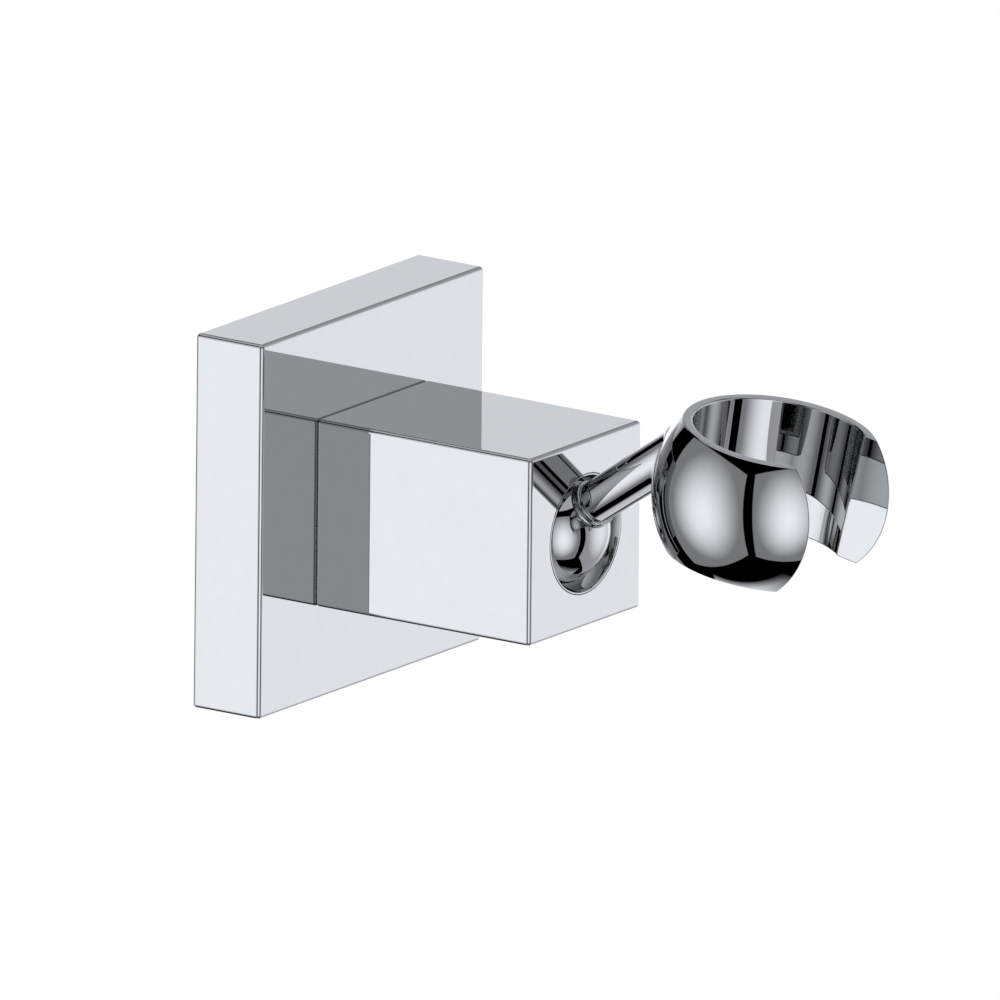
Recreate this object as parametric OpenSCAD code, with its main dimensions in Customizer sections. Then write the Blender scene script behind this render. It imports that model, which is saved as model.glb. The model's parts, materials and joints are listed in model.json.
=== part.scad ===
// Wall holder: a square base and arm, a ball joint in the arm's end, and a C-shaped cradle.
// The origin is the middle of the wall face. +Z is up and the arm points along -Y.
// All sizes are in millimetres.

/* [Wall cover] */
// Width and height of the square cover
cover_side = 52; // [43:1:64]
// Depth of the cover, from the wall to its front face
cover_depth = 11; // [10:0.5:16]
// Thickness of the cover's side walls
cover_wall = 1.6; // [1.2:0.1:2.2]
// Thickness of the cover's front wall, which carries the arm
cover_front = 2.5; // [2:0.1:3]
// Bevel along the outer edges of the cover and the arm
edge_bevel = 0.5; // [0.2:0.1:0.8]

/* [Wall plate] */
// Thickness of the plate that is screwed to the wall
plate_thick = 3.5; // [2.5:0.1:4]
// Gap all round between the plate and the inside of the cover
plate_gap = 0.3; // [0.1:0.05:0.6]
// Thickness of the rubber gasket between plate and wall
gasket_thick = 1; // [0.5:0.1:1.5]
// Distance between the two wall screw holes
wall_hole_spacing = 32; // [24:1:34]
// Diameter of the wall screw holes
wall_hole_d = 4.6; // [4:0.1:6]

/* [Grub screw] */
// Thread diameter of the grub screw under the cover
grub_d = 4; // [3:0.5:5]
// Height of the boss inside the cover that the grub screw turns in
boss_height = 3; // [2:0.1:4]
// How far the grub screw's tip reaches into the wall plate
grub_bite = 0.8; // [0.5:0.1:1.2]

/* [Arm] */
// Width and height of the square arm
arm_side = 26; // [21:1:32]
// Length of the arm in front of the cover
arm_length = 35; // [33:1:60]
// Thread diameter of the screw that holds the arm to the cover
arm_screw_d = 6; // [5:0.5:7]
// Length of that screw under its head
arm_screw_length = 12; // [9:1:14]
// Diameter of the two locating pins
pin_d = 3; // [2:0.1:4]
// Distance between the locating pins
pin_spacing = 17; // [15:1:18]
// How far the locating pins reach into the arm
pin_bite = 3; // [2:0.1:5]

/* [Ball joint] */
// Diameter of the ball
ball_d = 15; // [12:0.5:16]
// How far the ball stands out of the arm's end face
ball_proud = 2.5; // [2:0.1:3.5]
// Wall left between the ball and the socket bore, which the seats fill
seat_wall = 0.8; // [0.7:0.05:1.2]
// Running gap between the ball and its seats
ball_gap = 0.1; // [0.05:0.01:0.15]
// Depth of the mouth's slope, from the end face to the throat
lip_depth = 2.1; // [1.8:0.1:2.4]
// Length of the retaining ring along the arm
ring_length = 2.6; // [2.4:0.1:3]
// Number of disc springs behind the ball
disc_count = 4; // [2:1:4]
// Thickness of one disc spring
disc_thick = 0.8; // [0.5:0.1:1]
// Cone height of one disc spring
disc_rise = 0.5; // [0.3:0.1:0.6]

/* [Neck] */
// Angle of the neck above the arm's axis at rest
neck_tilt = 34.9; // [15:0.1:36]
// Length of the neck, from the ball's centre to the back of the cradle
neck_length = 23.7; // [22:0.1:36]
// Diameter of the neck at the ball
neck_d = 5.9; // [5.4:0.1:6.4]
// Diameter of the neck at the cradle
neck_root_d = 6.4; // [5.4:0.1:8]
// Thread diameter of the screw through the ball
ball_screw_d = 4; // [3:0.1:4]
// Depth of that screw's thread in the neck
ball_screw_bite = 8; // [5:0.5:10]
// Width of the collar between ball and neck
collar_length = 1.2; // [0.8:0.1:1.6]

/* [Cradle] */
// Diameter of the ball-shaped cradle
cradle_d = 32; // [28:0.5:40]
// Height of the cradle, cut flat above and below
cradle_height = 18; // [12:0.5:20]
// Diameter of the tapered hole at its top
bore_top_d = 23.7; // [21:0.1:24.5]
// Diameter of the tapered hole at its bottom
bore_bottom_d = 22.2; // [20:0.1:24]
// Width of the slot in the cradle's front
slot_width = 18.5; // [12:0.5:20]
// Angle between the neck and the cradle's middle plane
cradle_angle = 44.9; // [30:0.1:55]
// How far above the cradle's middle plane the neck meets it
neck_rise = 0.35; // [0:0.05:1]

/* [Hidden] */

$fn = 96;
past = 1;            // how far a cut runs past the face that it opens
thread_gap = 0.05;   // gap between a screw and its threaded hole, all round
hole_gap = 0.3;      // gap between a screw and its plain hole, all round

cover_inside = cover_side - 2 * cover_wall;
cover_back_of_front = cover_depth - cover_front;
end_face = cover_depth + arm_length;

plate_side = cover_inside - 2 * plate_gap;
plate_middle = gasket_thick + plate_thick / 2;
gasket_hole_extra = 0.4;

boss_width = grub_d + 4;
boss_top = -cover_inside / 2 + boss_height;
boss_clear = 0.3;
grub_recess = 0.4;
grub_tip_d = grub_d * 0.6;
grub_seat_gap = 0.1;
grub_socket = grub_d * 0.5;
grub_socket_depth = 1.6;

washer_thick = 1.2;
arm_head_d = arm_screw_d + 4;
arm_head_height = 3.2;
plate_centre_d = arm_head_d + 4;
thread_spare = 1.2;
pin_gap = 0.02;

ball_r = ball_d / 2;
ball_depth = ball_r - ball_proud;
seat_sphere_r = ball_r + ball_gap;
socket_r = ball_r + seat_wall;
ring_r = socket_r - thread_gap;
seat_slide = 0.15;
throat_height = ball_depth - lip_depth;
throat_r = sqrt(seat_sphere_r * seat_sphere_r - throat_height * throat_height);
lip_land = 0.2;
front_seat_back = 1;
rear_seat_front = 2;
rear_seat_back = ball_r;
rear_seat_hole_r = 4.5;
pressure_thick = 1;
disc_height = disc_thick + disc_rise;
socket_back = rear_seat_back + pressure_thick + disc_count * disc_height;

collar_r = neck_d / 2 + 0.35;
collar_groove = 0.25;
collar_start = sqrt(ball_r * ball_r - neck_d * neck_d / 4);
neck_start = collar_start + collar_length;
neck_root_depth = 6;
ball_head_r = 3.4;
ball_head_height = 2.7;
ball_counterbore = 5.1;
ball_head_seat = ball_r - ball_counterbore;
ball_washer_thick = 0.8;
ball_hole_gap = 0.1;

cradle_r = cradle_d / 2;
bore_slope = (bore_top_d - bore_bottom_d) / cradle_height / 2;

// Things along the arm: the children's +Z points out of the wall, along -Y.
module along_arm(from_wall = 0) {
    translate([0, -from_wall, 0]) rotate([90, 0, 0]) children();
}

// Things round the ball: the origin is its centre and +Z points out of the arm's end.
module at_ball() {
    along_arm(end_face - ball_depth) children();
}

// Things along the neck: the origin is the ball's centre and +Z runs up the neck.
module along_neck() {
    at_ball() rotate([-neck_tilt, 0, 0]) children();
}

// Things of the cradle: the origin is its centre, +Z its hole's axis and -Y its slot.
module at_cradle() {
    along_neck() translate([0, 0, neck_length]) rotate([cradle_angle - 90, 0, 0])
        translate([0, -cradle_r, -neck_rise]) children();
}

// A square with its corners bevelled.
module bevelled_square(w, h, bevel) {
    polygon([[-w / 2 + bevel, -h / 2], [w / 2 - bevel, -h / 2], [w / 2, -h / 2 + bevel],
             [w / 2, h / 2 - bevel], [w / 2 - bevel, h / 2], [-w / 2 + bevel, h / 2],
             [-w / 2, h / 2 - bevel], [-w / 2, -h / 2 + bevel]]);
}

// A square bar standing on z = 0, bevelled along its sides and round its top.
module bevelled_bar(side, height, bevel) {
    intersection() {
        linear_extrude(height) bevelled_square(side, side, bevel);
        rotate([90, 0, 0]) linear_extrude(side + past, center = true)
            bevelled_square(side, 2 * height, bevel);
        rotate([90, 0, 90]) linear_extrude(side + past, center = true)
            bevelled_square(side, 2 * height, bevel);
    }
}

module ring(r_out, r_in, height) {
    difference() {
        cylinder(r = r_out, h = height);
        translate([0, 0, -past]) cylinder(r = r_in, h = height + 2 * past);
    }
}

// A ring washer cut through on one side.
module split_washer(r_out, r_in, height) {
    cut = 0.8;
    difference() {
        ring(r_out, r_in, height);
        translate([0, -cut / 2, -past]) cube([r_out + past, cut, height + 2 * past]);
    }
}

// A socket-head screw: its head sits on z = 0 and its thread points along +Z.
module socket_screw(thread_d, length, head_r, head_height, socket) {
    difference() {
        union() {
            translate([0, 0, -head_height]) cylinder(r = head_r, h = head_height);
            cylinder(d = thread_d, h = length);
        }
        translate([0, 0, -head_height - past])
            cylinder(d = socket, h = head_height * 0.6 + past, $fn = 6);
    }
}

// Moves the children to both places of a pair, spaced along X.
module pair(spacing) {
    for (side = [-1, 1])
        translate([side * spacing / 2, 0, 0]) children();
}

// The outline that the wall plate and its gasket share, with a notch for the grub screw's boss.
module plate_outline(hole_d) {
    difference() {
        square(plate_side, center = true);
        circle(d = plate_centre_d);
        pair(wall_hole_spacing) circle(d = hole_d);
        translate([-boss_width / 2 - boss_clear, -cover_side])
            square([boss_width + 2 * boss_clear, cover_side + boss_top + boss_clear]);
    }
}

module wall_cover() {
    color("gainsboro") difference() {
        union() {
            difference() {
                along_arm() bevelled_bar(cover_side, cover_depth, edge_bevel);
                along_arm(-past)
                    translate([-cover_inside / 2, -cover_inside / 2, 0])
                        cube([cover_inside, cover_inside, cover_back_of_front + past]);
            }
            along_arm(gasket_thick)
                translate([-boss_width / 2, -cover_inside / 2 - cover_wall / 2, 0])
                    cube([boss_width, boss_height + cover_wall / 2,
                          cover_depth - gasket_thick - cover_front / 2]);
        }
        along_arm(cover_back_of_front - past)
            cylinder(r = arm_screw_d / 2 + hole_gap, h = cover_front + 2 * past);
        along_arm(cover_back_of_front - past) pair(pin_spacing)
            cylinder(r = pin_d / 2 + pin_gap, h = cover_front + 2 * past);
        translate([0, -plate_middle, -cover_side / 2 - past])
            cylinder(r = grub_d / 2 + thread_gap, h = cover_wall + boss_height + 2 * past);
    }
}

module wall_plate() {
    color("silver") difference() {
        along_arm(gasket_thick) linear_extrude(plate_thick) plate_outline(wall_hole_d);
        translate([0, -plate_middle, boss_top])
            cylinder(r = grub_tip_d / 2 + grub_seat_gap, h = boss_clear + grub_bite + grub_seat_gap);
    }
}

module wall_gasket() {
    color("dimgray") along_arm() linear_extrude(gasket_thick)
        plate_outline(wall_hole_d + gasket_hole_extra);
}

module grub_screw() {
    start = -cover_side / 2 + grub_recess;
    color("silver") translate([0, -plate_middle, start]) difference() {
        union() {
            cylinder(d = grub_d, h = boss_top - start);
            cylinder(d = grub_tip_d, h = boss_top + boss_clear + grub_bite - start);
        }
        translate([0, 0, -past])
            cylinder(d = grub_socket, h = grub_socket_depth + past, $fn = 6);
    }
}

module lock_washer() {
    color("silver") along_arm(cover_back_of_front - washer_thick)
        split_washer(arm_head_d / 2, arm_screw_d / 2 + hole_gap / 2, washer_thick);
}

module arm_screw() {
    color("silver") along_arm(cover_back_of_front - washer_thick)
        socket_screw(arm_screw_d, arm_screw_length, arm_head_d / 2, arm_head_height,
                     arm_screw_d * 0.9);
}

module locating_pins() {
    color("silver") along_arm(cover_back_of_front) pair(pin_spacing)
        cylinder(d = pin_d, h = cover_front + pin_bite);
}

module arm() {
    screw_reach = arm_screw_length - washer_thick - cover_front + thread_spare;
    color("gainsboro") difference() {
        along_arm(cover_depth) bevelled_bar(arm_side, arm_length, edge_bevel);
        at_ball() translate([0, 0, -socket_back])
            cylinder(r = socket_r, h = socket_back + ball_depth + past);
        along_arm(cover_depth - past)
            cylinder(r = arm_screw_d / 2 + thread_gap, h = screw_reach + past);
        along_arm(cover_depth - past) pair(pin_spacing)
            cylinder(r = pin_d / 2 + pin_gap, h = pin_bite + pin_gap + past);
    }
}

module disc_springs() {
    r_in = rear_seat_hole_r;
    r_out = socket_r - seat_slide;
    color("slategray") at_ball() translate([0, 0, -socket_back])
        for (i = [0 : disc_count - 1])
            translate([0, 0, i * disc_height + (i % 2) * disc_height])
                mirror([0, 0, i % 2])
                    rotate_extrude()
                        polygon([[r_out, 0], [r_out, disc_thick],
                                 [r_in, disc_height], [r_in, disc_rise]]);
}

module pressure_disc() {
    color("silver") at_ball() translate([0, 0, -rear_seat_back - pressure_thick])
        ring(socket_r - seat_slide, rear_seat_hole_r, pressure_thick);
}

module rear_seat() {
    color("ivory") at_ball() difference() {
        translate([0, 0, -rear_seat_back])
            cylinder(r = socket_r - seat_slide, h = rear_seat_back - rear_seat_front);
        sphere(r = seat_sphere_r);
        translate([0, 0, -rear_seat_back - past])
            cylinder(r = rear_seat_hole_r, h = rear_seat_back + past);
    }
}

module front_seat() {
    front = ball_depth - ring_length;
    color("ivory") at_ball() difference() {
        translate([0, 0, -front_seat_back]) cylinder(r = ring_r, h = front + front_seat_back);
        sphere(r = seat_sphere_r);
    }
}

module retaining_ring() {
    mouth_r = ring_r - lip_land;
    slope = (mouth_r - throat_r) / lip_depth;
    color("gainsboro") at_ball() difference() {
        translate([0, 0, ball_depth - ring_length]) cylinder(r = ring_r, h = ring_length);
        sphere(r = seat_sphere_r);
        cylinder(r1 = mouth_r - slope * ball_depth, r2 = mouth_r + slope * past,
                 h = ball_depth + past);
    }
}

module ball() {
    color("gainsboro") along_neck() difference() {
        sphere(r = ball_r);
        translate([0, 0, collar_start]) cylinder(r = ball_r, h = ball_r);
        translate([0, 0, -ball_r - past])
            cylinder(r = ball_screw_d / 2 + ball_hole_gap, h = ball_d + 2 * past);
        translate([0, 0, -ball_r - past])
            cylinder(r = ball_head_r + ball_hole_gap, h = ball_counterbore + past);
    }
}

module ball_washer() {
    color("silver") along_neck() translate([0, 0, -ball_head_seat - ball_washer_thick])
        split_washer(ball_head_r, ball_screw_d / 2 + ball_hole_gap, ball_washer_thick);
}

module ball_screw() {
    seat = ball_head_seat + ball_washer_thick;
    color("silver") along_neck() translate([0, 0, -seat])
        socket_screw(ball_screw_d, seat + neck_start + ball_screw_bite, ball_head_r,
                     ball_head_height, ball_screw_d * 0.85);
}

module neck_collar() {
    land = collar_length * 0.4;
    color("gainsboro") along_neck() translate([0, 0, collar_start]) difference() {
        ring(collar_r, ball_screw_d / 2 + ball_hole_gap, collar_length);
        translate([0, 0, land])
            ring(collar_r + past, collar_r - collar_groove, collar_length - 2 * land);
    }
}

module cradle() {
    neck_run = neck_length + neck_root_depth - neck_start;
    color("gainsboro") difference() {
        union() {
            at_cradle() intersection() {
                sphere(r = cradle_r);
                cube([cradle_d + past, cradle_d + past, cradle_height], center = true);
            }
            along_neck() translate([0, 0, neck_start])
                cylinder(d1 = neck_d, d2 = neck_root_d, h = neck_run);
        }
        at_cradle() translate([0, 0, -cradle_height / 2 - past])
            cylinder(r1 = bore_bottom_d / 2 - bore_slope * past,
                     r2 = bore_top_d / 2 + bore_slope * past, h = cradle_height + 2 * past);
        at_cradle() translate([-slot_width / 2, -cradle_r - past, -cradle_height / 2 - past])
            cube([slot_width, cradle_r + past, cradle_height + 2 * past]);
        along_neck() translate([0, 0, neck_start - past])
            cylinder(r = ball_screw_d / 2 + thread_gap, h = ball_screw_bite + thread_spare + past);
    }
}

wall_cover();
wall_plate();
wall_gasket();
grub_screw();
arm_screw();
lock_washer();
locating_pins();
arm();
disc_springs();
pressure_disc();
rear_seat();
front_seat();
retaining_ring();
ball();
ball_screw();
ball_washer();
neck_collar();
cradle();
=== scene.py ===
import json
import math

import bpy
from mathutils import Matrix, Vector


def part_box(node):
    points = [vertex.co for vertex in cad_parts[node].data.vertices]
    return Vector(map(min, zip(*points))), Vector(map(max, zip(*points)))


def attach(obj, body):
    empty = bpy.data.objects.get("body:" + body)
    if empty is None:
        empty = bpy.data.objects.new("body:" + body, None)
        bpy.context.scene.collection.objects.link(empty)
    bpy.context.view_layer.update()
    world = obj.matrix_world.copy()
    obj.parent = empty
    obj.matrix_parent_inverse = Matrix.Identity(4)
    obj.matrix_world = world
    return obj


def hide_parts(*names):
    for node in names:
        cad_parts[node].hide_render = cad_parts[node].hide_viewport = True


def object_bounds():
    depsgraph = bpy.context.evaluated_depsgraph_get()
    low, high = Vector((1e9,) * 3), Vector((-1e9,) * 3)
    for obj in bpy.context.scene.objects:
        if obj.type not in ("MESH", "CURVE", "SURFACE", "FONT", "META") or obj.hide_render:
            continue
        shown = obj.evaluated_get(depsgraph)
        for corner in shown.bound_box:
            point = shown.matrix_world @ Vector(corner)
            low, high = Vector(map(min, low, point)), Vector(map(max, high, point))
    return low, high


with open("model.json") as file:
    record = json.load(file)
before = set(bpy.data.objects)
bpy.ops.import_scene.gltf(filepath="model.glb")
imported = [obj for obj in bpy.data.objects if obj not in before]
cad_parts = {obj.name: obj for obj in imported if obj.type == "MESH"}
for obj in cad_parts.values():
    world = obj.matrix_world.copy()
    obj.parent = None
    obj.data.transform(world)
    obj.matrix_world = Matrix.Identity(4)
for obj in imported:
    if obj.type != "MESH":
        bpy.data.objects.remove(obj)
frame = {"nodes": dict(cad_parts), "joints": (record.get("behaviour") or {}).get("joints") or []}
cad_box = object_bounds()
scene = bpy.context.scene
mm = 0.001

# The studio. The holder hangs free in a plain white room, as on a wall, well above a pale floor.
# Four wide soft panels stand round it with narrow dark gaps between them, one more lies below and
# one hangs above, so that the polished metal has light and dark to reflect.
scene.view_settings.view_transform = "Standard"


def node(tree, kind, *inputs, **settings):
    """Adds a shader node. Inputs fill its sockets in order: a number, a colour, or another node's output."""
    made = tree.nodes.new("ShaderNode" + kind)
    for name, value in settings.items():
        setattr(made, name, value)
    for socket, value in zip(made.inputs, inputs):
        if isinstance(value, bpy.types.NodeSocket):
            tree.links.new(value, socket)
        elif value is not None:
            socket.default_value = value
    return made


def sum_of(tree, operation, *inputs):
    """The result of one step of arithmetic between node outputs and numbers."""
    return node(tree, "Math", *inputs, operation=operation).outputs[0]


def edge_of(tree, value, inside, outside):
    """1 where value is on the inside of a soft edge, and 0 past its outside."""
    low, high = min(inside, outside), max(inside, outside)
    ends = (1.0, 0.0) if inside < outside else (0.0, 1.0)
    return node(tree, "MapRange", value, low, high, *ends, interpolation_type="SMOOTHSTEP").outputs[0]


floor_drop = 0.6
floor_half = 20.0
floor_height = cad_box[0].z - floor_drop
floor_mesh = bpy.data.meshes.new("floor")
floor_mesh.from_pydata(
    [(x * floor_half, y * floor_half, floor_height) for x, y in ((-1, -1), (1, -1), (1, 1), (-1, 1))],
    [], [(0, 1, 2, 3)])
floor = bpy.data.objects.new("floor", floor_mesh)
scene.collection.objects.link(floor)
floor.visible_glossy = False
floor.visible_shadow = False
pale = bpy.data.materials.new("pale_floor")
pale.use_nodes = True
pale.node_tree.nodes.clear()
glow = node(pale.node_tree, "Emission", (1, 1, 1, 1), 1.0)
node(pale.node_tree, "OutputMaterial", glow.outputs[0])
floor_mesh.materials.append(pale)

scene.world = bpy.data.worlds.new("studio")
scene.world.use_nodes = True
room = scene.world.node_tree
room.nodes.clear()
toward = node(room, "TexCoord").outputs["Generated"]
heading = node(room, "SeparateXYZ", toward).outputs
depth = sum_of(room, "ABSOLUTE", heading[2])
span_x = sum_of(room, "DIVIDE", heading[0], depth)
span_y = sum_of(room, "DIVIDE", heading[1], depth)


brightest_height, tone_blend, edge_softness, behind = -0.2, 0.1, 0.03, 0.01


def wall_panel(bearing, glow, dimmest, narrow, fall, ends, foot, head):
    """A soft panel that stands upright beside the holder. It is brightest a little below the holder's own
    height, and fades across by narrow and up and down by fall, to no less than its dimmest tone. Its ends,
    foot and head are measured from the point straight before the holder, in shares of the way to it."""
    angle = math.radians(bearing)
    facing = sum_of(room, "ADD", sum_of(room, "MULTIPLY", heading[0], math.cos(angle)),
                    sum_of(room, "MULTIPLY", heading[1], math.sin(angle)))
    beside = sum_of(room, "SUBTRACT", sum_of(room, "MULTIPLY", heading[1], math.cos(angle)),
                    sum_of(room, "MULTIPLY", heading[0], math.sin(angle)))
    across = sum_of(room, "DIVIDE", beside, facing)
    height = sum_of(room, "DIVIDE", heading[2], facing)
    over_middle = sum_of(room, "SUBTRACT", height, brightest_height)
    fade = sum_of(room, "ADD", sum_of(room, "MULTIPLY", sum_of(room, "MULTIPLY", across, across), -narrow),
                  sum_of(room, "MULTIPLY", sum_of(room, "MULTIPLY", over_middle, over_middle), -fall))
    light = sum_of(room, "MULTIPLY", sum_of(room, "EXPONENT", fade), glow)
    light = sum_of(room, "SMOOTH_MAX", light, dimmest, tone_blend)
    for edge in (edge_of(room, across, ends[0] + edge_softness, ends[0]),
                 edge_of(room, across, ends[1] - edge_softness, ends[1]),
                 edge_of(room, height, foot + edge_softness, foot),
                 edge_of(room, height, head - edge_softness, head),
                 sum_of(room, "GREATER_THAN", facing, behind)):
        light = sum_of(room, "MULTIPLY", light, edge)
    return light


lit = wall_panel(bearing=146, glow=1.90, dimmest=0.40, narrow=2.25, fall=1.55,
                 ends=(-1.12, 0.94), foot=-1.48, head=0.83)
for panel in (wall_panel(bearing=-127.5, glow=1.91, dimmest=0.40, narrow=4.0, fall=1.55,
                         ends=(-0.70, 0.74), foot=-1.41, head=0.78),
              wall_panel(bearing=-35, glow=1.70, dimmest=0.62, narrow=1.6, fall=2.0,
                         ends=(-0.98, 1.43), foot=-1.45, head=1.0),
              wall_panel(bearing=28, glow=1.80, dimmest=0.40, narrow=0.85, fall=2.2,
                         ends=(-1.20, 1.03), foot=-1.45, head=0.95)):
    lit = sum_of(room, "MAXIMUM", lit, panel)

below_rise_x, below_rise_y, below_glow = (-0.21, -0.04), (-0.37, 0.13), 1.4
below_edge_x, below_edge_y = (0.45, 0.50), (0.60, 0.65)
below = sum_of(room, "MULTIPLY", node(room, "MapRange", span_x, *below_rise_x, 0.0, 1.0).outputs[0],
               node(room, "MapRange", span_y, *below_rise_y, 0.0, below_glow).outputs[0])
for edge in (edge_of(room, span_x, *below_edge_x), edge_of(room, span_y, *below_edge_y),
             sum_of(room, "LESS_THAN", heading[2], 0.0)):
    below = sum_of(room, "MULTIPLY", below, edge)

above_edge, above_glow = (0.77, 0.75), 0.80
above = edge_of(room, depth, *above_edge)
above = sum_of(room, "MULTIPLY", above, sum_of(room, "GREATER_THAN", heading[2], 0.0))
above = sum_of(room, "MULTIPLY", above, above_glow)
lit = sum_of(room, "ADD", sum_of(room, "ADD", lit, below), above)
studio = node(room, "Background", (0.976, 1.0, 1.035, 1), lit)
backdrop = node(room, "Background", (1, 1, 1, 1), 1.0)
seen = node(room, "LightPath").outputs["Is Camera Ray"]
both = node(room, "MixShader", seen, studio.outputs[0], backdrop.outputs[0])
node(room, "OutputWorld", both.outputs[0])
scene.cycles.max_bounces = 16
scene.cycles.glossy_bounces = 14

# The camera stands to the left of the holder and a little above it, so far away that lines which
# run side by side stay so in the picture. The holder lies a little right of and below its middle.
azimuth, elevation, roll = (math.radians(angle) for angle in (-55.13, 14.97, 0.546))
picture_width = 134.16 * mm
right_of_middle, above_middle = -10.33 * mm, 4.31 * mm
stand_off = 0.5
back = Vector((math.sin(azimuth) * math.cos(elevation), -math.cos(azimuth) * math.cos(elevation),
               math.sin(elevation)))
level = Vector((math.cos(azimuth), math.sin(azimuth), 0))
upright = back.cross(level)
right = level * math.cos(roll) + upright * math.sin(roll)
up = back.cross(right)
aim = (cad_box[0] + cad_box[1]) / 2 + right * right_of_middle + up * above_middle
lens = bpy.data.cameras.new("camera")
lens.type = "ORTHO"
lens.ortho_scale = picture_width
camera = bpy.data.objects.new("camera", lens)
scene.collection.objects.link(camera)
pointing = Matrix((right, up, back)).transposed().to_4x4()
camera.matrix_world = Matrix.Translation(aim + back * stand_off) @ pointing
scene.camera = camera

# The wall cover is a square cap of cast brass, polished and chromed like every part of the holder that
# shows. It drops over the wall plate, and a boss inside its lower wall takes the grub screw.
cloud_size = 12


def surface(name, colours, metallic, rough, grain, bump, stretch=(1, 1, 1), **fixed):
    """A material whose gloss varies with a fine grain, and its tone with clouds some cloud_size times as
    wide. Grain is how many specks go to a millimetre, and bump is how deep they are, in millimetres."""
    made = bpy.data.materials.new(name)
    made.use_nodes = True
    tree = made.node_tree
    shader = tree.nodes["Principled BSDF"]
    shader.inputs["Metallic"].default_value = metallic
    for socket, value in fixed.items():
        shader.inputs[socket.replace("_", " ")].default_value = value
    place = node(tree, "TexCoord").outputs["Object"]
    laid = node(tree, "Mapping", place, None, None, stretch).outputs[0]
    specks = node(tree, "TexNoise", laid)
    specks.inputs["Scale"].default_value = grain / mm
    specks.inputs["Detail"].default_value = 4.0
    clouds = node(tree, "TexNoise", laid)
    clouds.inputs["Scale"].default_value = grain / mm / cloud_size
    clouds.inputs["Detail"].default_value = 3.0
    tone = node(tree, "ValToRGB", clouds.outputs["Fac"])
    tone.color_ramp.elements[0].position, tone.color_ramp.elements[1].position = 0.35, 0.65
    tone.color_ramp.elements[0].color = (*colours[0], 1)
    tone.color_ramp.elements[1].color = (*colours[1], 1)
    tree.links.new(tone.outputs[0], shader.inputs["Base Color"])
    gloss = node(tree, "MapRange", specks.outputs["Fac"], 0.3, 0.7, *rough)
    tree.links.new(gloss.outputs[0], shader.inputs["Roughness"])
    if bump:
        relief = node(tree, "Bump")
        relief.inputs["Strength"].default_value = 1.0
        relief.inputs["Distance"].default_value = bump * mm
        tree.links.new(specks.outputs["Fac"], relief.inputs["Height"])
        tree.links.new(relief.outputs[0], shader.inputs["Normal"])
    return made


chrome = surface("chrome", ((0.425, 0.430, 0.432), (0.433, 0.438, 0.440)), 1.0, (0.003, 0.010), 6, 0)


def corner(a, b, before, after, radius=0.0, steps=8):
    """A corner of an outline, rounded off. Before and after are the bearings, in degrees, in which the
    metal's skin faces on either side of it. They rise round a corner that stands out, and fall in a
    hollow one."""
    first, last = math.radians(before), math.radians(after)
    side = 1 if after > before else -1
    shift = radius / (1 + math.cos(last - first))
    mid_a = a - side * shift * (math.cos(first) + math.cos(last))
    mid_b = b - side * shift * (math.sin(first) + math.sin(last))
    count = steps if radius else 1
    turns = [first + (last - first) * step / count for step in range(count + 1)]
    return [(mid_a + side * radius * math.cos(t), mid_b + side * radius * math.sin(t),
             math.cos(t), math.sin(t)) for t in turns]


def squared(outline, core, steps=8):
    """The skin of a square piece. Its outline gives how far the metal stands out from a core square and
    how far from the wall it lies, and is carried round the four sides. Both of its ends are closed flat."""
    rounds = []
    for quarter in range(4):
        middle = math.radians(90 * quarter + 45)
        side_x, side_z = math.copysign(1, math.cos(middle)), math.copysign(1, math.sin(middle))
        for step in range(steps + 1):
            turn = math.radians(90 * (quarter + step / steps))
            column = []
            for out, along, face_out, face_along in outline:
                lean_x, lean_z = (math.cos(turn), math.sin(turn)) if out > 0 else (side_x, side_z)
                spot = Vector((side_x * core + lean_x * out, -along, side_z * core + lean_z * out))
                way = Vector((face_out * math.cos(turn), -face_along, face_out * math.sin(turn)))
                column.append((spot, way))
            rounds.append(column)
    skin = strips(rounds)
    for end in (0, -1):
        facing_way = Vector((0, -outline[end][3], 0))
        skin.append([(column[end][0], facing_way) for column in rounds])
    return skin


def strip(one, two, closed):
    """The faces between two columns of points. Where they are closed, their last point meets their first."""
    ends = list(zip(one, two))
    pairs = zip(ends, ends[1:] + ends[:1]) if closed else zip(ends, ends[1:])
    return [[low[0], low[1], high[1], high[0]] for low, high in pairs]


def strips(rounds, closed=False):
    """The faces between columns of points that follow each other right round a piece."""
    skin = []
    for one, two in zip(rounds, rounds[1:] + rounds[:1]):
        skin += strip(one, two, closed)
    return skin


places_to_mm = 1e4


def forge(name, skin, exact=True):
    """A mesh from its skin: faces whose corners each have a place and the way in which the metal faces
    there. Corners at one place become one point, faces with no area are dropped, and every face looks
    outward. Where it is exact, the metal's own ways are kept for its shading."""
    places, number, faces, ways = [], {}, [], []
    for face in skin:
        ring = []
        for place, way in face:
            key = tuple(round(c / mm * places_to_mm) for c in place)
            if key not in number:
                number[key] = len(places)
                places.append(place)
            if not ring or ring[-1][0] != number[key]:
                ring.append((number[key], way))
        if ring[0][0] == ring[-1][0]:
            ring.pop()
        if len({point for point, _ in ring}) < 3:
            continue
        area = Vector((0, 0, 0))
        for (one, _), (two, _) in zip(ring, ring[1:] + ring[:1]):
            area += places[one].cross(places[two])
        if area.dot(sum((way for _, way in ring), Vector((0, 0, 0)))) < 0:
            ring.reverse()
        faces.append([point for point, _ in ring])
        ways += [way for _, way in ring]
    mesh = bpy.data.meshes.new(name)
    mesh.from_pydata(places, [], faces, shade_flat=False)
    if exact:
        mesh.normals_split_custom_set(ways)
    piece = bpy.data.objects.new(name, mesh)
    scene.collection.objects.link(piece)
    return piece


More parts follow.
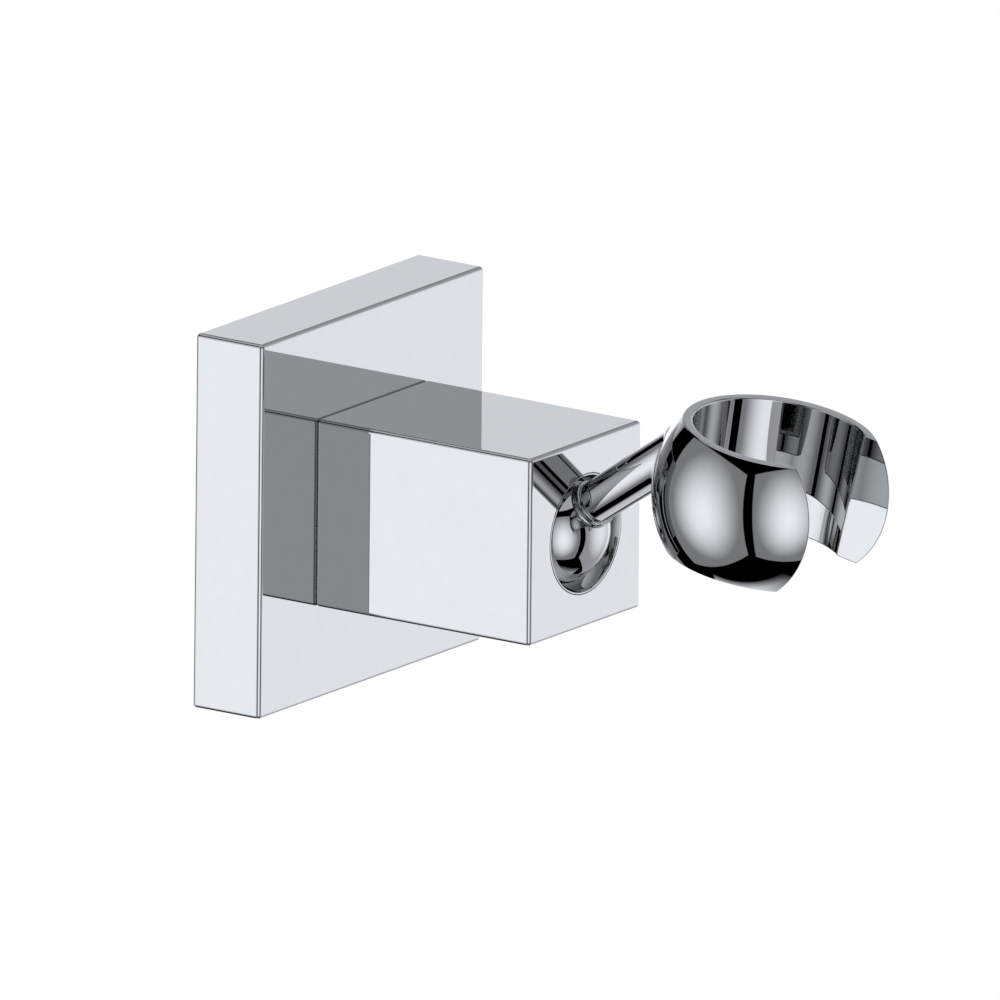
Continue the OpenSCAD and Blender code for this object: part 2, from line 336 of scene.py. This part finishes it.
def turned(outline, centre, axis, steps=144):
    """The skin of a turned piece: its outline, radius against place along the axis, carried round once."""
    side = Vector((1, 0, 0))
    other = axis.cross(side)
    rounds = []
    for step in range(steps):
        turn = math.tau * step / steps
        out = side * math.cos(turn) + other * math.sin(turn)
        rounds.append([(centre + axis * along + out * radius, axis * face_along + out * face_out)
                       for radius, along, face_out, face_along in outline])
    return strips(rounds, closed=True)


def reshape(piece, operation, tool):
    """Cuts a tool into a piece, or joins it on, and puts the tool away."""
    change = piece.modifiers.new(operation, "BOOLEAN")
    change.operation, change.object, change.solver = operation, tool, "EXACT"
    shaped = bpy.data.meshes.new_from_object(piece.evaluated_get(bpy.context.evaluated_depsgraph_get()))
    piece.modifiers.clear()
    piece.data = shaped
    bpy.data.objects.remove(tool)


past = 1 * mm
drill_sides, mouth_steps, mouth_turn = 96, 6, 17


def bore(piece, centre, axis, radius, start, mouth, broken=0.12 * mm):
    """Drills a hole from start to its mouth, both measured along the axis, and breaks the edge of the
    mouth. The drill runs on past the mouth, into the open."""
    outline = [(0, start, 0, -1), (radius, start, 0, -1)]
    for step in range(mouth_steps if broken else 0):
        turn = math.radians(180 - mouth_turn * step)
        rim, level_at = radius + broken + broken * math.cos(turn), mouth - broken + broken * math.sin(turn)
        outline.append((rim, level_at, 1, 0))
    outline += [(outline[-1][0], mouth + past, 1, 0), (0, mouth + past, 0, 1)]
    reshape(piece, "DIFFERENCE", forge("drill", turned(outline, centre, axis, drill_sides), exact=False))


sharpest_smooth = math.radians(30)


def polish(piece, body, stands_for):
    """Finishes a block: its flats stay flat to the eye and its rounded edges smooth. Then it is chromed."""
    piece.data.shade_smooth()
    piece.data.set_sharp_from_angle(angle=sharpest_smooth)
    even = piece.modifiers.new("flats", "WEIGHTED_NORMAL")
    even.keep_sharp = True
    even.weight = 100
    dress(piece, chrome, body, "chrome", stands_for)


def dress(piece, finish, body, slot, *stands_for):
    """Gives a piece its finish and its place on a body, and hides the plain solids that it stands for."""
    piece.data.materials.clear()
    piece.data.materials.append(finish)
    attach(piece, body)
    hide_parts(*stands_for)


outward = Vector((0, -1, 0))
wall_middle = Vector((0, 0, 0))
cover_low, cover_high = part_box("wall_cover")
cover_half, cover_depth = cover_high.x, -cover_low.y
cover_wall, cover_front, edge_round, inner_round = 1.6 * mm, 2.5 * mm, 0.6 * mm, 0.15 * mm
cover_core = cover_half - edge_round
cavity_out = edge_round - cover_wall
cover_outline = (
    [(cavity_out, cover_depth - cover_front, 0, -1)]
    + corner(cavity_out, cover_depth - cover_front, -90, -180, 0)
    + corner(cavity_out, 0, -180, -90, inner_round, 3)
    + corner(edge_round, 0, -90, 0, edge_round)
    + corner(edge_round, cover_depth, 0, 90, edge_round))
cover = forge("chrome_wall_cover", squared(cover_outline, cover_core), exact=False)


def block(low, high):
    """The skin of a plain block between two corners."""
    skin = []
    for axis in range(3):
        for end, side in ((low, -1), (high, 1)):
            ring = []
            for u, v in ((0, 0), (1, 0), (1, 1), (0, 1)):
                place, way = Vector(end), Vector((0, 0, 0))
                place[(axis + 1) % 3] = (low, high)[u][(axis + 1) % 3]
                place[(axis + 2) % 3] = (low, high)[v][(axis + 2) % 3]
                way[axis] = side
                ring.append((place, way))
            skin.append(ring)
    return skin


grub_low, grub_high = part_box("grub_screw")
grub_middle, grub_radius = (grub_low + grub_high) / 2, (grub_high.x - grub_low.x) / 2
boss_half, boss_rise, boss_start, boss_end = 4 * mm, 3 * mm, 1 * mm, cover_depth - cover_front / 2
thread_gap, grub_mouth = 0.05 * mm, 0.3 * mm
boss = forge("boss", block((-boss_half, -boss_end, -cover_half + cover_wall / 2),
                           (boss_half, -boss_start, -cover_half + cover_wall + boss_rise)), exact=False)
reshape(cover, "UNION", boss)
bore(cover, Vector((0, grub_middle.y, 0)), Vector((0, 0, -1)), grub_radius + thread_gap,
     cover_half - cover_wall - boss_rise - past, cover_half, grub_mouth)
inside_front = cover_depth - cover_front
pins_low, pins_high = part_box("locating_pins")
pin_radius = (pins_high.z - pins_low.z) / 2
pin_places = [Vector((side * (pins_high.x - pin_radius), 0, 0)) for side in (-1, 1)]
arm_screw_radius, screw_gap, pin_gap = 3 * mm, 0.3 * mm, 0.02 * mm
bore(cover, wall_middle, outward, arm_screw_radius + screw_gap, inside_front - past, cover_depth, 0)
for place in pin_places:
    bore(cover, place, outward, pin_radius + pin_gap, inside_front - past, cover_depth, 0)
polish(cover, "bracket", "wall_cover")

# The arm is a square bar of the same metal, screwed to the cover from inside and pinned so that it
# can't turn. Its outer end is bored out to hold the ball and everything that presses on it.
arm_low, arm_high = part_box("arm")
arm_half, arm_start, arm_end = arm_high.x, -arm_high.y, -arm_low.y
socket_radius, socket_depth, back_round, screw_hole_spare = 8.3 * mm, 18.7 * mm, 0.4 * mm, 1.2 * mm
arm_outline = (
    corner(edge_round, arm_start, -90, 0, back_round)
    + corner(edge_round, arm_end, 0, 90, edge_round))
arm = forge("chrome_arm", squared(arm_outline, arm_half - edge_round), exact=False)
bore(arm, wall_middle, outward, socket_radius, arm_end - socket_depth, arm_end)
screw_hole_end, pin_hole_end = screw_hole_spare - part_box("arm_screw")[0].y, pin_gap - pins_low.y
bore(arm, wall_middle, -outward, arm_screw_radius + thread_gap, -screw_hole_end, -arm_start, 0)
for place in pin_places:
    bore(arm, place, -outward, pin_radius + pin_gap, -pin_hole_end, -arm_start, 0)
polish(arm, "bracket", "arm")

# The retaining ring is turned from brass, chromed, and screwed into the arm's mouth. Its sloped lip
# leads in to a throat just smaller than the ball, and holds the ball back.
swivel = next(joint for joint in frame["joints"] if joint["name"] == "swivel")
spin = next(joint for joint in frame["joints"] if joint["name"] == "spin")
ball_middle = Vector(swivel["pos_m"])
neck_way = Vector(spin["axis"]).normalized()
mouth = arm_end + ball_middle.y
ring_low, ring_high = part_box("retaining_ring")
ring_radius, ring_back = ring_high.x, mouth - (ring_high.y - ring_low.y)
seat_radius = 7.6 * mm
lip_radius, lip_depth = 8.05 * mm, 2.1 * mm
back_edge, face_edge, lip_edge, throat_edge = 0.05 * mm, 0.08 * mm, 0.06 * mm, 0.03 * mm
throat_edge_turn = 0.2
throat = mouth - lip_depth
throat_radius = math.sqrt(seat_radius ** 2 - throat ** 2)
slope = 90 + math.degrees(math.atan2(lip_depth, lip_radius - throat_radius))


def arc(a, b, radius, start, end, steps, hollow=False):
    """A round stretch of an outline, between two bearings from its centre, in degrees."""
    face = -1 if hollow else 1
    turns = [math.radians(start + (end - start) * step / steps) for step in range(steps + 1)]
    return [(a + radius * math.cos(t), b + radius * math.sin(t), face * math.cos(t), face * math.sin(t))
            for t in turns]


throat_bearing = math.degrees(math.atan2(throat, throat_radius))
back_bearing = math.degrees(math.asin(ring_back / seat_radius))
back_radius = seat_radius * math.cos(math.radians(back_bearing))
ring_outline = (
    corner(ring_radius, ring_back, 270, 360, back_edge, 2)
    + corner(ring_radius, mouth, 0, 90, face_edge, 4)
    + corner(lip_radius, mouth, 90, slope, lip_edge, 4)
    + corner(throat_radius, throat, slope, 180 + throat_bearing, throat_edge, 3)
    + arc(0, 0, seat_radius, throat_bearing - throat_edge_turn, back_bearing, 4, hollow=True)
    + corner(back_radius, ring_back, 180 + back_bearing, 270, 0, 1))
retaining_ring = forge("chrome_retaining_ring", turned(ring_outline, ball_middle, outward))
dress(retaining_ring, chrome, "bracket", "chrome", "retaining_ring")

# The ball is turned from brass and chromed. A hole runs through it for the screw that holds the neck,
# with a counterbore behind for the screw's head, and it is faced off flat where the neck's collar sits.
ball_radius = (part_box("ball")[1].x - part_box("ball")[0].x) / 2
flat_radius, hole_radius, head_radius, head_seat = 2.95 * mm, 2.1 * mm, 3.5 * mm, -2.4 * mm
flat_at = math.sqrt(ball_radius ** 2 - flat_radius ** 2)
flat_bearing = math.degrees(math.asin(flat_at / ball_radius))
mouth_bearing = -math.degrees(math.acos(head_radius / ball_radius))
ball_outline = (
    arc(0, 0, ball_radius, mouth_bearing, flat_bearing, 64)
    + corner(flat_radius, flat_at, flat_bearing, 90, 0)
    + corner(hole_radius, flat_at, 90, 180, 0)
    + corner(hole_radius, head_seat, 180, 270, 0)
    + corner(head_radius, head_seat, 270, 180, 0)
    + corner(head_radius, ball_radius * math.sin(math.radians(mouth_bearing)), 180, 360 + mouth_bearing, 0))
ball = forge("chrome_ball", turned(ball_outline, ball_middle, neck_way))
dress(ball, chrome, "ball", "chrome", "ball")

# The collar is a turned and chromed brass ring with a wide shallow groove round it. The screw through the
# ball clamps it between the ball's flat and the end of the neck.
collar_radius, collar_length, near_lip, far_lip = 3.3 * mm, 1.2 * mm, 0.2 * mm, 0.28 * mm
near_round, far_round = 0.06 * mm, 0.1 * mm
collar_end = flat_at + collar_length
groove_width, groove_depth = collar_length - near_lip - far_lip, 0.13 * mm
groove_radius = (groove_width ** 2 / 4 + groove_depth ** 2) / (2 * groove_depth)
groove_half = math.degrees(math.asin(groove_width / 2 / groove_radius))
collar_outline = (
    corner(collar_radius, flat_at, 270, 360, near_round, 4)
    + corner(collar_radius, flat_at + near_lip, 0, groove_half, 0)
    + arc(collar_radius - groove_depth + groove_radius, flat_at + near_lip + groove_width / 2, groove_radius,
          180 + groove_half, 180 - groove_half, 12, hollow=True)[1:-1]
    + corner(collar_radius, collar_end - far_lip, -groove_half, 0, 0)
    + corner(collar_radius, collar_end, 0, 90, far_round, 4)
    + corner(hole_radius, collar_end, 90, 180, 0)
    + corner(hole_radius, flat_at, 180, 270, 0))
collar = forge("chrome_neck_collar", turned(collar_outline, ball_middle, neck_way))
dress(collar, chrome, "ball", "chrome", "neck_collar")

# The cradle and its neck are one brass casting, machined and chromed. The cradle is a ball cut flat above
# and below, with a tapered hole down through it for the handset and a slot in front for the hose.
# The neck meets it at a slant, and the joint between them is blended round.
cradle_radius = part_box("cradle")[1].x
half_height = 9 * mm
bore_top, bore_bottom = 11.85 * mm, 11.1 * mm
slot_half = 9.25 * mm
neck_reach, neck_rise = 23.7 * mm, 0.35 * mm
cradle_slant = math.radians(10)
lip_round, slot_edge, blend_round = 0.3 * mm, 0.22 * mm, 1.9 * mm
window_turn, window_half = math.radians(27), 8.3 * mm
side_steps, window_steps, rim_steps, end_steps = 72, 32, 5, 4
lip_steps = 6

sideways = Vector((1, 0, 0))
rearward = Vector((0, math.cos(cradle_slant), math.sin(cradle_slant)))
hole_way = Vector((0, -math.sin(cradle_slant), math.cos(cradle_slant)))
neck_foot = ball_middle + neck_way * neck_reach
cradle_middle = neck_foot - rearward * cradle_radius - hole_way * neck_rise
taper = (bore_top - bore_bottom) / (2 * half_height)
taper_turn = math.degrees(math.atan(taper))


def bore_radius(height):
    return (bore_top + bore_bottom) / 2 + taper * height


rim_bearing = math.degrees(math.asin((half_height - lip_round) / (cradle_radius - lip_round)))
rim_middle = (cradle_radius - lip_round) * math.cos(math.radians(rim_bearing))
window_bearing = math.degrees(math.asin(window_half / cradle_radius))
inner_top = half_height - lip_round
inner_shift = lip_round * math.cos(math.radians(taper_turn))
inner_rise = lip_round * math.sin(math.radians(taper_turn))
cradle_outline = (
    arc(0, 0, cradle_radius, -rim_bearing, -window_bearing, rim_steps)
    + arc(0, 0, cradle_radius, -window_bearing, window_bearing, window_steps)[1:]
    + arc(0, 0, cradle_radius, window_bearing, rim_bearing, rim_steps)[1:]
    + arc(rim_middle, inner_top, lip_round, rim_bearing, 90, lip_steps)[1:]
    + arc(bore_radius(inner_top + inner_rise) + inner_shift, inner_top, lip_round,
          90, 180 - taper_turn, lip_steps)
    + arc(bore_radius(-inner_top + inner_rise) + inner_shift, -inner_top, lip_round,
          180 - taper_turn, 270, lip_steps)
    + arc(rim_middle, -inner_top, lip_round, 270, 360 - rim_bearing, lip_steps)[:-1])


def round_hole(radius, height, turn, face_out, face_up):
    """A place on the cradle and the way the metal faces there. The turn is about the hole, from the
    neck's side."""
    out = sideways * math.sin(turn) + rearward * math.cos(turn)
    return cradle_middle + out * radius + hole_way * height, out * face_out + hole_way * face_up


def slot_turn(radius, half_width):
    """The turn at which the slot is half_width from the cradle's middle, at a radius."""
    return math.pi - math.asin(half_width / radius)


def cradle_column(side, share):
    """One line of the cradle's outline, from the window's edge at share 0 to the slot's end at share 1."""
    column = []
    for radius, height, face_out, face_up in cradle_outline:
        turn = window_turn + share * (slot_turn(radius, slot_half + slot_edge) - window_turn)
        column.append(round_hole(radius, height, side * turn, face_out, face_up))
    return column


skin = []
for side in (-1, 1):
    columns = [cradle_column(side, step / side_steps) for step in range(side_steps + 1)]
    for one, two in zip(columns, columns[1:]):
        skin += strip(one, two, closed=True)
    rounded = [[] for step in range(end_steps + 1)]
    for spot, (radius, height, face_out, face_up) in zip(columns[-1], cradle_outline):
        sharp, _ = round_hole(radius, height, side * slot_turn(radius, slot_half), face_out, face_up)
        in_plane = Vector((0, *(spot[1].yz))).normalized()
        inset = sharp - in_plane * slot_edge
        end_way = Vector((-side, 0, 0))
        for step in range(end_steps + 1):
            share = step / end_steps
            place = spot[0] * (1 - share) ** 2 + sharp * 2 * share * (1 - share) + inset * share ** 2
            rounded[step].append((place, (spot[1] * (1 - share) + end_way * share).normalized()))
    for one, two in zip(rounded, rounded[1:]):
        skin += strip(one, two, closed=True)
    skin.append([(place, Vector((-side, 0, 0))) for place, _ in rounded[-1]])

first_row, last_row = rim_steps, rim_steps + window_steps
window = []
for step in range(window_steps + 1):
    turn = window_turn * (2 * step / window_steps - 1)
    window.append([round_hole(*point[:2], turn, *point[2:]) for point in cradle_outline])
for one, two in zip(window, window[1:]):
    faces = strip(one, two, closed=True)
    skin += faces[:first_row] + faces[last_row:]

neck_start, neck_radius, root_radius, root_depth = collar_end, 2.95 * mm, 3.2 * mm, 6 * mm
root_at = neck_reach + root_depth
screw_radius, screw_end, neck_edge = 2.05 * mm, 17.3 * mm, 0.1 * mm
search_before, search_past, halvings, blend_steps = 12 * mm, 1 * mm, 50, 8


def neck_radius_at(along):
    """The neck is a slow cone, wider toward the cradle."""
    return neck_radius + (root_radius - neck_radius) * (along - neck_start) / (root_at - neck_start)


def blend_line(edge_place):
    """One line of the neck's skin, which ends at a place on the window's edge. It runs from inside the
    screw's hole, over the neck's end and along the neck, through the blend and over the cradle's skin."""
    across_neck = edge_place - neck_foot
    across_neck -= neck_way * across_neck.dot(neck_way)
    out = across_neck.normalized()
    low, high = neck_reach - search_before, neck_reach + search_past
    for _ in range(halvings):
        along = (low + high) / 2
        roller = ball_middle + neck_way * along + out * (neck_radius_at(along) + blend_round)
        if (roller - cradle_middle).length > cradle_radius + blend_round:
            low = along
        else:
            high = along
    toward_cradle = (cradle_middle - roller).normalized()
    start_way = -out
    span = start_way.angle(toward_cradle)
    blend = []
    for step in range(blend_steps + 1):
        share = step / blend_steps
        way = start_way * math.sin((1 - share) * span) + toward_cradle * math.sin(share * span)
        way /= math.sin(span)
        blend.append((roller + way * blend_round, -way))
    touch = blend[-1][0]
    spread = []
    for step in range(1, blend_steps + 1):
        share = step / blend_steps
        way = (touch.lerp(edge_place, share) - cradle_middle).normalized()
        spread.append((edge_place if step == blend_steps else cradle_middle + way * cradle_radius, way))
    ring = []
    for radius, at, face_out, face_along in (
            [(0, screw_end, 0, -1), (screw_radius, screw_end, 0, -1), (screw_radius, screw_end, -1, 0)]
            + corner(screw_radius, neck_start, 180, 270, 0)
            + corner(neck_radius, neck_start, 270, 360, neck_edge, 4)):
        ring.append((ball_middle + neck_way * at + out * radius, out * face_out + neck_way * face_along))
    return ring + blend + spread


edge_rows = [column[first_row:last_row + 1] for column in window]
around = (
    [column[0][0] for column in edge_rows[:-1]] + [spot[0] for spot in edge_rows[-1][:-1]]
    + [column[-1][0] for column in edge_rows[:0:-1]] + [spot[0] for spot in edge_rows[0][:0:-1]])
skin += strips([blend_line(place) for place in around])
cradle = forge("chrome_cradle", skin)
dress(cradle, chrome, "cradle", "chrome", "cradle")

# The wall plate is stamped from steel and zinc plated. Two screws hold it to the wall, and the cover
# hangs on it. It has a wide hole in its middle for the arm's screw, and a notch below for the boss.
def join_points(solid):
    """Joins the points of a solid that lie at one place, so that its faces share their edges."""
    joined = solid.modifiers.new("joined", "WELD")
    joined.merge_threshold = 0.0005 * mm


def finish_solid(name, finish, broken):
    """Gives one of the plain solids its finish, and breaks its sharp edges a little."""
    solid = frame["nodes"][name]
    for place in solid.material_slots:
        place.material = finish
    join_points(solid)
    edges = solid.modifiers.new("broken_edges", "BEVEL")
    edges.limit_method, edges.angle_limit = "ANGLE", math.radians(40)
    edges.width, edges.segments, edges.harden_normals = broken, 2, True


zinc = surface("zinc_plate", ((0.47, 0.49, 0.51), (0.60, 0.61, 0.62)), 1.0, (0.26, 0.42), 4, 0.004)
finish_solid("wall_plate", zinc, 0.25 * mm)

# The gasket is cut from black rubber sheet and lies between the plate and the wall. Two square channels
# run round its wall side, so that its ribs press tight against tiles that aren't quite flat.
rubber = surface("rubber", ((0.020, 0.020, 0.021), (0.034, 0.034, 0.035)), 0.0, (0.58, 0.80), 6, 0.02)
gasket = bpy.data.objects.new("ribbed_gasket", frame["nodes"]["wall_gasket"].data.copy())
scene.collection.objects.link(gasket)
join_points(gasket)
gasket_half, channel_width, channel_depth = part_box("wall_gasket")[1].x, 0.8 * mm, 0.4 * mm
channel_insets = 1.2 * mm, 3.2 * mm
for inset in channel_insets:
    out, within = gasket_half - inset, gasket_half - inset - channel_width
    channel = forge("channel", block((-out, -channel_depth, -out), (out, past, out)), exact=False)
    island = forge("island", block((-within, -past, -within), (within, 2 * past, within)), exact=False)
    reshape(channel, "DIFFERENCE", island)
    reshape(gasket, "DIFFERENCE", channel)
    gasket.data.shade_flat()
dress(gasket, rubber, "bracket", "rubber", "wall_gasket")

# The screws and the two locating pins are turned from stainless steel. The arm's screw and the ball's
# have round heads with a hexagon socket, and the grub screw has its socket in its end.
for name, squeeze in (("arm_screw", (1, 8, 1)), ("locating_pins", (1, 8, 1)), ("grub_screw", (1, 1, 8)),
                      ("ball_screw", (1, 6, 4))):
    steel = surface("stainless_" + name, ((0.45, 0.44, 0.42), (0.54, 0.53, 0.51)), 1.0, (0.15, 0.26),
                    3, 0.0006, squeeze)
    finish_solid(name, steel, 0.2 * mm)

# The two spring washers lie under the screws' heads and keep them from working loose. They are split
# rings of hardened steel, oiled dark blue-grey.
blued = surface("blued_spring_steel", ((0.085, 0.092, 0.110), (0.150, 0.158, 0.175)), 1.0, (0.30, 0.50),
                5, 0.004)
for name in ("lock_washer", "ball_washer"):
    finish_solid(name, blued, 0.08 * mm)

# The four disc springs press the rear seat on the ball. They are shallow steel cones with rounded
# edges, stacked in pairs, face to face, and a hair apart where they would touch.
springs_low, springs_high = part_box("disc_springs")
disc_count, disc_rise, disc_hole, disc_edge, hair = 4, 0.5 * mm, 4.5 * mm, 0.15 * mm, 0.004 * mm
disc_rim, disc_height = springs_high.x, (springs_high.y - springs_low.y) / disc_count
disc_lean = math.degrees(math.atan2(disc_rise, disc_rim - disc_hole))
disc_outline = (
    corner(disc_rim, hair, -90 - disc_lean, 0, disc_edge, 4)
    + corner(disc_rim, disc_height - disc_rise - hair, 0, 90 - disc_lean, disc_edge, 4)
    + corner(disc_hole, disc_height - hair, 90 - disc_lean, 180, disc_edge, 4)
    + corner(disc_hole, disc_rise + hair, 180, 270 - disc_lean, disc_edge, 4))
skin = []
for place in range(disc_count):
    start, way = (place, 1) if place % 2 == 0 else (place + 1, -1)
    foot = -springs_high.y + start * disc_height
    skin += turned([(radius, foot + way * along, face_out, way * face_along)
                    for radius, along, face_out, face_along in disc_outline], wall_middle, outward)
springs = forge("blued_disc_springs", skin)
dress(springs, blued, "bracket", "spring_steel", "disc_springs")

# The pressure disc is a plain steel washer, zinc plated like the wall plate. It spreads the springs'
# force over the back of the rear seat.
finish_solid("pressure_disc", zinc, 0.1 * mm)

# The two seats are turned from natural white acetal, a hard slippery plastic. They hold the ball
# between them, behind the retaining ring.
acetal = surface("acetal", ((0.68, 0.66, 0.60), (0.76, 0.74, 0.69)), 0.0, (0.32, 0.46), 5, 0.006, (1, 6, 1),
                 IOR=1.48)
for name in ("rear_seat", "front_seat"):
    finish_solid(name, acetal, 0.06 * mm)
